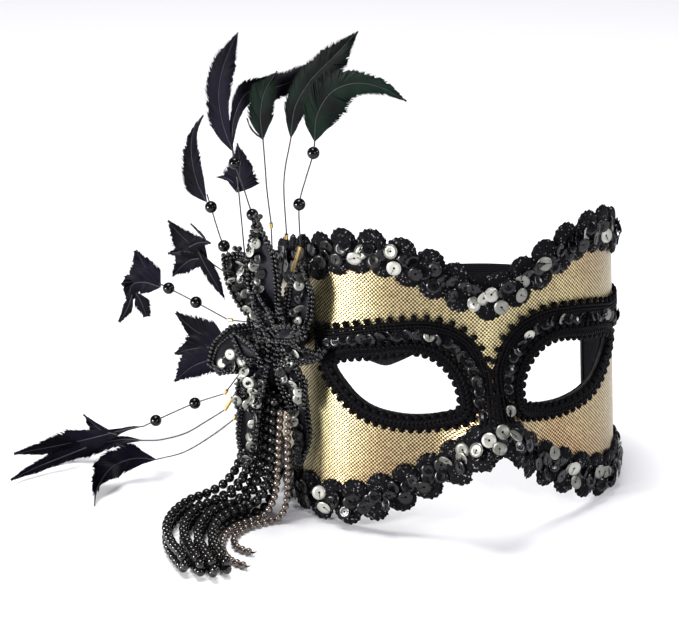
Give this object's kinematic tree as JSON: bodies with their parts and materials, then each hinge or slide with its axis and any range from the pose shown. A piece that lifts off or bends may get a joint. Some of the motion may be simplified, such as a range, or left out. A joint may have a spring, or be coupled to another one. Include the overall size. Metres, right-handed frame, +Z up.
{
  "type": "masquerade half mask",
  "caption": "Half mask standing on its lower edge, with a gold cloth face, sequin trims, braided eye holes, a beaded flower, wired feathers, pearl loops and a strap.",
  "frame": {"origin": "point on the table under the middle of everything but the loose bead strands", "axes": "+Z up, -Y in front of the face, +X towards the wearer's left; the mask stands on its lower edge"},
  "size_m": [0.2526, 0.152, 0.2094],
  "materials": {
    "shell_board": "matt black pressed board",
    "gold_lame": "metallic gold woven lame",
    "black_felt": "matt black felt",
    "sequin_trim": "black glitter cord scallops with grey sequins",
    "sequin_band": "black braid with grey sequins",
    "black_braid": "black braided gimp",
    "petal_satin": "black satin with sequins and a seed bead edge",
    "black_glass_bead": "glossy black bead",
    "black_pearl": "glossy black pearl string",
    "grey_pearl": "lustrous grey-brown pearl string",
    "steel_wire": "thin grey wire",
    "green_feather": "iridescent green-black feather",
    "dark_feather": "aubergine-black feather",
    "elastic": "woven black elastic"
  },
  "bodies": {
    "mask": {"mask_shell": "shell_board", "gold_cover": "gold_lame", "inner_lining": "black_felt", "top_trim": "sequin_trim", "bottom_trim": "sequin_trim", "right_eye_gimp": "black_braid", "left_eye_gimp": "black_braid", "right_brow_band": "sequin_band", "left_brow_band": "sequin_band", "right_picot_braid": "black_braid", "left_picot_braid": "black_braid", "petal_top": "petal_satin", "petal_upper_left": "petal_satin", "petal_right": "petal_satin", "petal_left": "petal_satin", "petal_lower_left": "petal_satin", "petal_lower_right": "petal_satin", "rosette": "black_glass_bead", "flower_hub": "black_felt", "pearl_loop_1": "black_pearl", "pearl_loop_2": "black_pearl", "pearl_loop_3": "black_pearl", "pearl_loop_4": "black_pearl", "grey_strand_1": "grey_pearl", "grey_strand_2": "grey_pearl"},
    "feather_stem_1": {"stem_1": "steel_wire", "feather_1": "green_feather", "bead_1a": "black_glass_bead", "bead_1b": "black_glass_bead"},
    "feather_stem_2": {"stem_2": "steel_wire", "feather_2": "green_feather"},
    "feather_stem_3": {"stem_3": "steel_wire", "feather_3": "green_feather"},
    "feather_stem_4": {"stem_4": "steel_wire", "feather_4": "dark_feather", "bead_4a": "black_glass_bead", "bead_4b": "black_glass_bead"},
    "feather_stem_5": {"stem_5": "steel_wire", "feather_5": "dark_feather"},
    "feather_stem_6": {"stem_6": "steel_wire", "feather_6": "dark_feather", "bead_6a": "black_glass_bead", "bead_6b": "black_glass_bead"},
    "feather_stem_7": {"stem_7": "steel_wire", "feather_7": "dark_feather"},
    "feather_stem_8": {"stem_8": "steel_wire", "feather_8": "dark_feather", "bead_8a": "black_glass_bead", "bead_8b": "black_glass_bead"},
    "feather_stem_9": {"stem_9": "steel_wire", "feather_9": "dark_feather"},
    "feather_stem_10": {"stem_10": "steel_wire", "feather_10": "dark_feather", "bead_10a": "black_glass_bead", "bead_10b": "black_glass_bead"},
    "feather_stem_11": {"stem_11": "steel_wire", "feather_11": "dark_feather"},
    "feather_stem_12": {"stem_12": "steel_wire", "feather_12": "dark_feather"},
    "strap": {"head_strap": "elastic"}
  },
  "joints": [
    {"name": "stem_1_bend", "type": "hinge", "parent": "mask", "child": "feather_stem_1", "pos_m": [-0.0155, -0.0147, 0.1168], "axis": [0.7659, -0.6429, 0], "range_deg": [0, 8], "stiffness_Nm_per_rad": 0.02},
    {"name": "stem_2_bend", "type": "hinge", "parent": "mask", "child": "feather_stem_2", "pos_m": [-0.0201, -0.0101, 0.1207], "axis": [0.7659, -0.6429, 0], "range_deg": [-2, 2], "stiffness_Nm_per_rad": 0.02},
    {"name": "stem_3_bend", "type": "hinge", "parent": "mask", "child": "feather_stem_3", "pos_m": [-0.0257, -0.0068, 0.1248], "axis": [0.7659, -0.6429, 0], "range_deg": [-2, 6], "stiffness_Nm_per_rad": 0.02},
    {"name": "stem_4_bend", "type": "hinge", "parent": "mask", "child": "feather_stem_4", "pos_m": [-0.0299, -0.0032, 0.1206], "axis": [0.7659, -0.6429, 0], "range_deg": [0, 8], "stiffness_Nm_per_rad": 0.02},
    {"name": "stem_5_bend", "type": "hinge", "parent": "mask", "child": "feather_stem_5", "pos_m": [-0.0346, 0.0033, 0.1084], "axis": [0.7659, -0.6429, 0], "range_deg": [-8, 0], "stiffness_Nm_per_rad": 0.02},
    {"name": "stem_6_bend", "type": "hinge", "parent": "mask", "child": "feather_stem_6", "pos_m": [-0.0387, 0.0055, 0.1054], "axis": [0.7659, -0.6429, 0], "range_deg": [-6, 6], "stiffness_Nm_per_rad": 0.02},
    {"name": "stem_7_bend", "type": "hinge", "parent": "mask", "child": "feather_stem_7", "pos_m": [-0.039, 0.0057, 0.0975], "axis": [0, 0, 1], "range_deg": [-6, 6], "stiffness_Nm_per_rad": 0.02},
    {"name": "stem_8_bend", "type": "hinge", "parent": "mask", "child": "feather_stem_8", "pos_m": [-0.041, 0.0074, 0.0785], "axis": [0, 0, 1], "range_deg": [-6, 6], "stiffness_Nm_per_rad": 0.02},
    {"name": "stem_9_bend", "type": "hinge", "parent": "mask", "child": "feather_stem_9", "pos_m": [-0.0398, 0.0077, 0.0649], "axis": [0, 0, 1], "range_deg": [-8, 2], "stiffness_Nm_per_rad": 0.02},
    {"name": "stem_10_bend", "type": "hinge", "parent": "mask", "child": "feather_stem_10", "pos_m": [-0.0425, 0.01, 0.0443], "axis": [0, 0, 1], "range_deg": [-8, 0], "stiffness_Nm_per_rad": 0.02},
    {"name": "stem_11_bend", "type": "hinge", "parent": "mask", "child": "feather_stem_11", "pos_m": [-0.0422, 0.011, 0.0365], "axis": [0, 0, 1], "range_deg": [-1.5, 1.5], "stiffness_Nm_per_rad": 0.02},
    {"name": "stem_12_bend", "type": "hinge", "parent": "mask", "child": "feather_stem_12", "pos_m": [-0.0397, 0.005, 0.0345], "axis": [0, 0, 1], "range_deg": [0, 8], "stiffness_Nm_per_rad": 0.02},
    {"name": "strap_flex", "type": "hinge", "parent": "mask", "child": "strap", "pos_m": [0.0535, 0.0192, 0.065], "axis": [1, 0, 0], "range_deg": [-70, 60], "stiffness_Nm_per_rad": 0.1}
  ]
}
